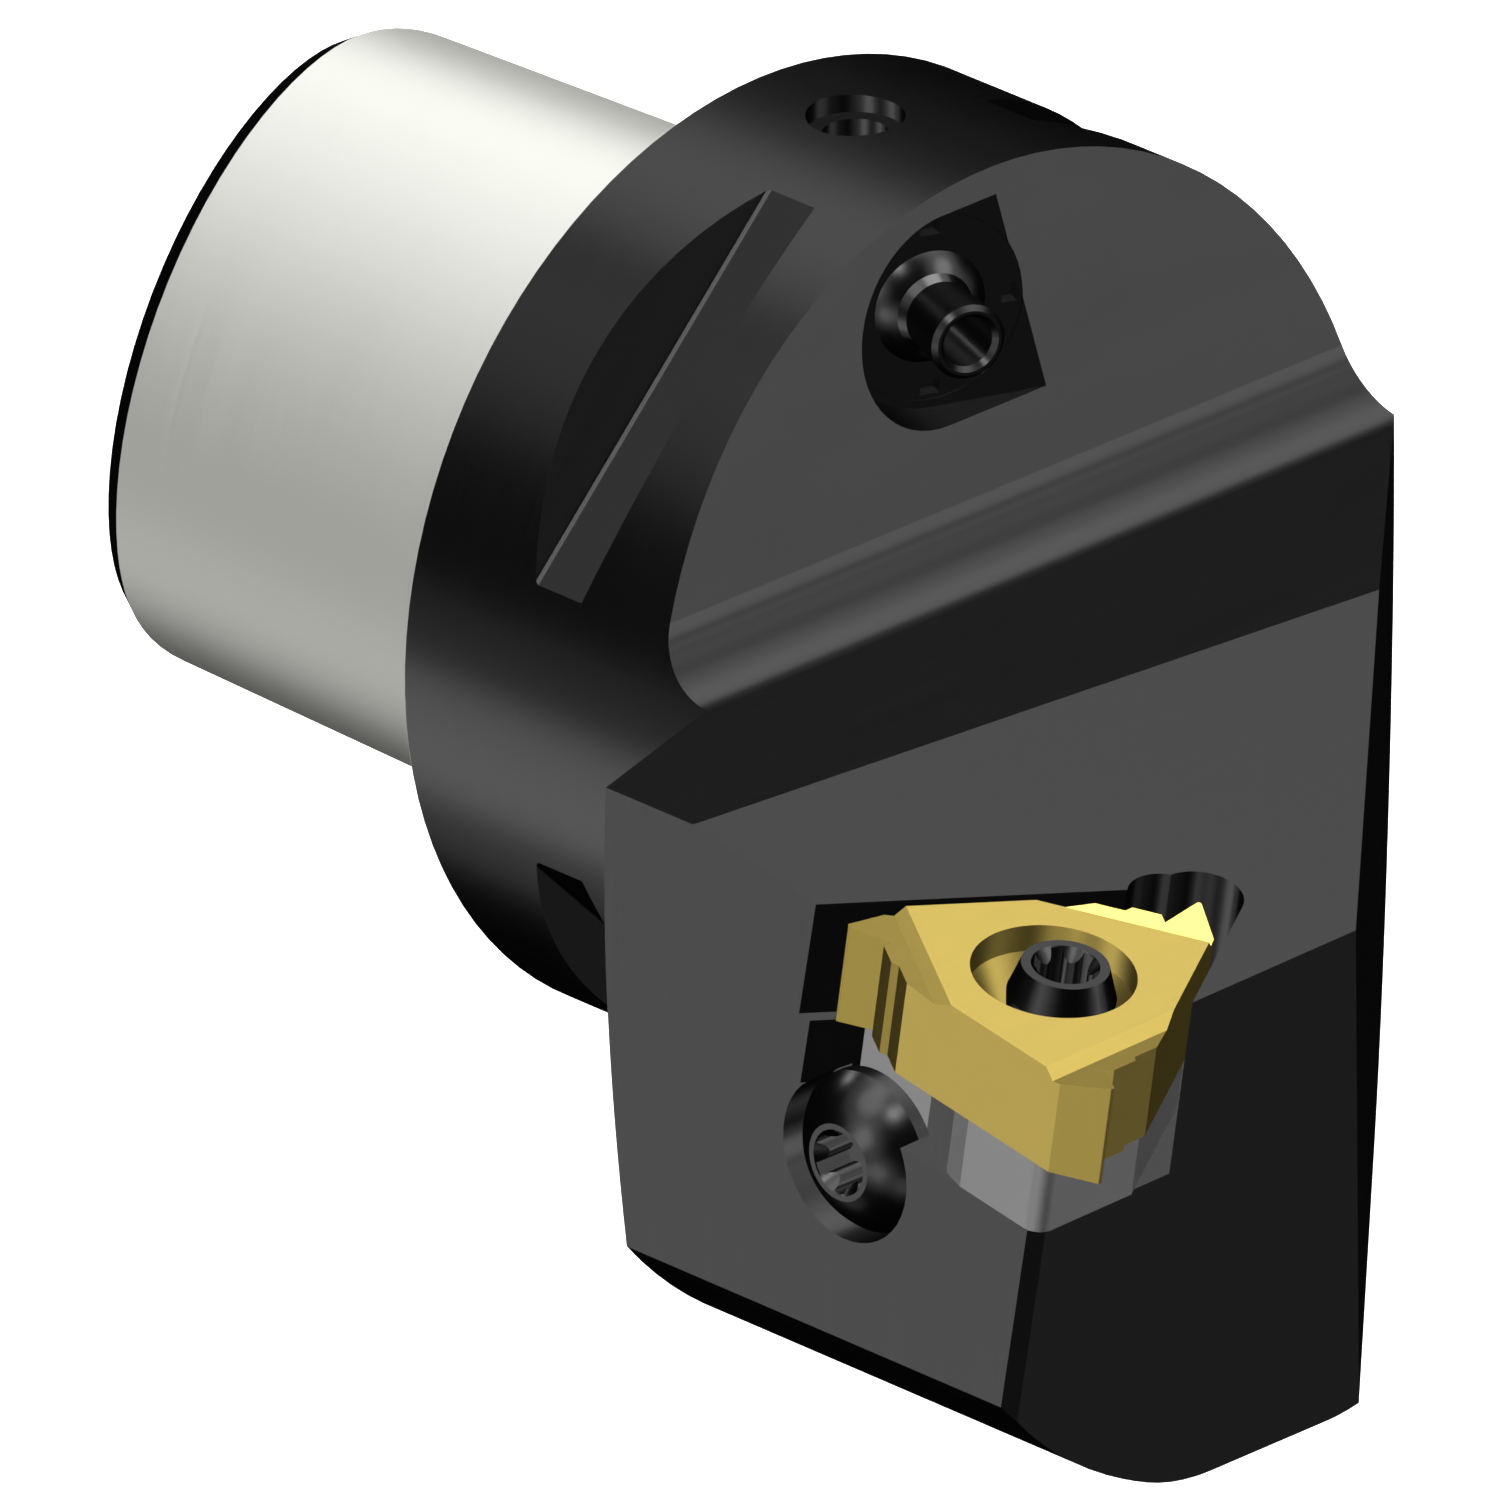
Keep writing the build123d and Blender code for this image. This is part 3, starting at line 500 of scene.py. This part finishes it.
class HOLDER_OT_groove_fillets(bpy.types.Operator):
    """Adds the fillets at the rear feet of the gripper grooves"""
    bl_idname = "holder.groove_fillets"
    bl_label = "Groove fillets"

    def execute(self, context):
        bm = bmesh.new()
        lean = radians(GROOVE_LEAN)
        # The wall leans away from the floor, so their corner is open by 90 degrees and the lean
        reach = GROOVE_FILLET_R / tan((pi / 2 + lean) / 2)
        to_front = Vector((1, 0, 0))
        for quarter in range(4):
            angle = pi / 4 + quarter * pi / 2
            outward = Vector((0, cos(angle), sin(angle)))
            along = Vector((0, -sin(angle), cos(angle)))
            foot = Vector((GROOVE_X - GROOVE_HALF_WIDTH, 0, 0)) + outward * GROOVE_FLOOR_R
            wall = outward * cos(lean) - to_front * sin(lean)
            start = foot + to_front * reach
            end = foot + wall * reach
            centre = start + outward * GROOVE_FILLET_R
            a = start - centre
            b = end - centre
            sweep = a.angle(b)
            # The section is the arc and a corner that lies a little inside the body
            section = [foot - (outward + to_front) * 0.01 * MM]
            for step in range(GROOVE_FILLET_STEPS + 1):
                t = step / GROOVE_FILLET_STEPS
                section.append(centre + (a * sin((1 - t) * sweep) + b * sin(t * sweep)) / sin(sweep))
            rings = []
            for way in (-1, 1):
                ring = []
                for point in section:
                    half = sqrt(FLANGE_R ** 2 - point.dot(outward) ** 2)
                    ring.append(bm.verts.new(point + along * (way * half)))
                rings.append(ring)
            for k in range(len(section)):
                bm.faces.new((rings[0][k - 1], rings[0][k], rings[1][k], rings[1][k - 1]))
            bm.faces.new(rings[0][::-1])
            bm.faces.new(rings[1])
        bmesh.ops.recalc_face_normals(bm, faces=bm.faces)
        mesh = bpy.data.meshes.new("groove_fillets")
        bm.to_mesh(mesh)
        bm.free()
        material = frame["nodes"]["head_body"].data.materials[0]
        finished("groove_fillets", mesh, "head", material)
        return {"FINISHED"}


# The studio's soft lights: azimuth and height of the light as seen from the object, in degrees, with
# azimuth 0 towards +X and 90 towards +Y, then the width that it fills and its strength
LIGHTS = (
    ("top_softbox", 112, 76, 62, 3.45),
    ("front_softbox", 25, 34, 43, 1.12),
    ("cutting_side_panel", -94, 13, 39, 0.68),
    ("cutting_side_softbox", -109, 51, 52, 1.10),
    ("end_panel", 39, -8, 37, 0.38),
    ("low_end_panel", 53, -56, 33, 0.12),
    ("low_front_panel", 7, -30, 45, 0.03),
    ("low_shank_panel", -136, -34, 45, 0.42),
    ("low_corner_lamp", -75, -21, 36, 0.40),
    ("shank_lamp", -171, 33, 11, 0.14),
    ("groove_lamp", -62, 48, 18, 0.45),
    ("lower_fillet_lamp", 42, 11, 18, 0.035),
    ("upper_fillet_lamp", 59, 41, 14, 0.018),
    ("far_panel", 135, 22, 40, 0.006),
    ("shim_corner_lamp", -45, -37, 28, 0.12),
)

# Each softbox fades towards its edge: it is made of a few lamps of one strength whose widths are these shares
SOFT_EDGE = (0.6, 1.25)

# The floor's side and its distance below the object, in metres
FLOOR_SIZE = 6.0
FLOOR_GAP = 0.05 * MM

# The camera: the directions to its right and ahead of it, its place along ahead, right and up from the
# origin, in millimetres, and its lens
CAMERA_RIGHT = Vector((0.7047, 0.7095, 0.0))
CAMERA_AHEAD = Vector((-0.6439, 0.6396, -0.4198))
CAMERA_PLACE = (-3202.7, -0.612, -10.793)
CAMERA_LENS = 1542.9


class HOLDER_OT_stage(bpy.types.Operator):
    """Makes the floor, the lights and the camera"""
    bl_idname = "holder.stage"
    bl_label = "Stage"

    def execute(self, context):
        scene = context.scene
        settings = scene.holder_studio
        low = CAD_BOX[0]
        bpy.ops.mesh.primitive_plane_add(size=FLOOR_SIZE, location=(0, 0, low.z - FLOOR_GAP))
        floor = context.object
        floor.name = "studio_floor"
        # White painted board, lit from within so that it stays white under the object
        material, tree, out = new_material("white_painted_board")
        shader = add_node(tree, "ShaderNodeBsdfPrincipled", Roughness=0.9)
        shader.inputs["Base Color"].default_value = linear("#f4f4f4")
        shader.inputs["Emission Color"].default_value = (1.0, 1.0, 1.0, 1.0)
        shader.inputs["Emission Strength"].default_value = settings.floor_level
        tree.links.new(shader.outputs[0], out.inputs["Surface"])
        floor.data.materials.append(material)
        floor.visible_shadow = False
        floor.visible_glossy = False
        floor.visible_diffuse = False
        world = bpy.data.worlds.new("studio")
        scene.world = world
        world.use_nodes = True
        world.node_tree.nodes["Background"].inputs["Color"].default_value = (1, 1, 1, 1)
        world.node_tree.nodes["Background"].inputs["Strength"].default_value = 1.0
        world.cycles_visibility.diffuse = False
        world.cycles_visibility.glossy = False
        for name, azimuth, height, width, strength in LIGHTS:
            for layer, share in enumerate(SOFT_EDGE):
                lamp = bpy.data.lights.new(f"{name}_{layer}", "SUN")
                lamp.energy = strength * settings.level / len(SOFT_EDGE)
                lamp.angle = radians(width * share)
                lamp.use_shadow = False
                light = bpy.data.objects.new(lamp.name, lamp)
                scene.collection.objects.link(light)
                a = radians(azimuth)
                h = radians(height)
                towards = Vector((cos(h) * cos(a), cos(h) * sin(a), sin(h)))
                light.rotation_euler = towards.to_track_quat("Z", "Y").to_euler()
        camera = bpy.data.objects.new("camera", bpy.data.cameras.new("camera"))
        scene.collection.objects.link(camera)
        scene.camera = camera
        ahead = CAMERA_AHEAD.normalized()
        right = (CAMERA_RIGHT - ahead * CAMERA_RIGHT.dot(ahead)).normalized()
        up = right.cross(ahead)
        camera.matrix_world = Matrix((
            (right.x, up.x, -ahead.x, 0),
            (right.y, up.y, -ahead.y, 0),
            (right.z, up.z, -ahead.z, 0),
            (0, 0, 0, 1),
        ))
        steps = [way * far for way, far in zip((ahead, right, up), CAMERA_PLACE)]
        camera.location = sum(steps, Vector()) * MM
        camera.data.sensor_width = 36
        camera.data.lens = CAMERA_LENS
        camera.data.clip_start = 0.1
        camera.data.clip_end = 100
        scene.view_settings.view_transform = "Standard"
        return {"FINISHED"}


class HOLDER_PT_panel(bpy.types.Panel):
    """Lists the steps that dress the threading head"""
    bl_idname = "HOLDER_PT_panel"
    bl_label = "Threading head"
    bl_space_type = "VIEW_3D"
    bl_region_type = "UI"
    bl_category = "Threading head"

    def draw(self, context):
        scene = context.scene
        for settings in (scene.holder_finishes, scene.holder_threads, scene.holder_studio):
            for name in settings.bl_rna.properties.keys():
                if name not in ("rna_type", "name"):
                    self.layout.prop(settings, name)
        for operator in OPERATORS:
            self.layout.operator(operator.bl_idname)


OPERATORS = (HOLDER_OT_finishes, HOLDER_OT_threads, HOLDER_OT_groove_fillets, HOLDER_OT_stage)
CLASSES = (HolderFinishSettings, HolderThreadSettings, HolderStudioSettings) + OPERATORS + (HOLDER_PT_panel,)


def register():
    for cls in CLASSES:
        bpy.utils.register_class(cls)
    bpy.types.Scene.holder_finishes = bpy.props.PointerProperty(type=HolderFinishSettings)
    bpy.types.Scene.holder_threads = bpy.props.PointerProperty(type=HolderThreadSettings)
    bpy.types.Scene.holder_studio = bpy.props.PointerProperty(type=HolderStudioSettings)


def unregister():
    del bpy.types.Scene.holder_studio
    del bpy.types.Scene.holder_threads
    del bpy.types.Scene.holder_finishes
    for cls in reversed(CLASSES):
        bpy.utils.unregister_class(cls)


def main():
    register()
    bpy.ops.holder.finishes()
    bpy.ops.holder.threads()
    bpy.ops.holder.groove_fillets()
    bpy.ops.holder.stage()


if __name__ == "__main__":
    main()
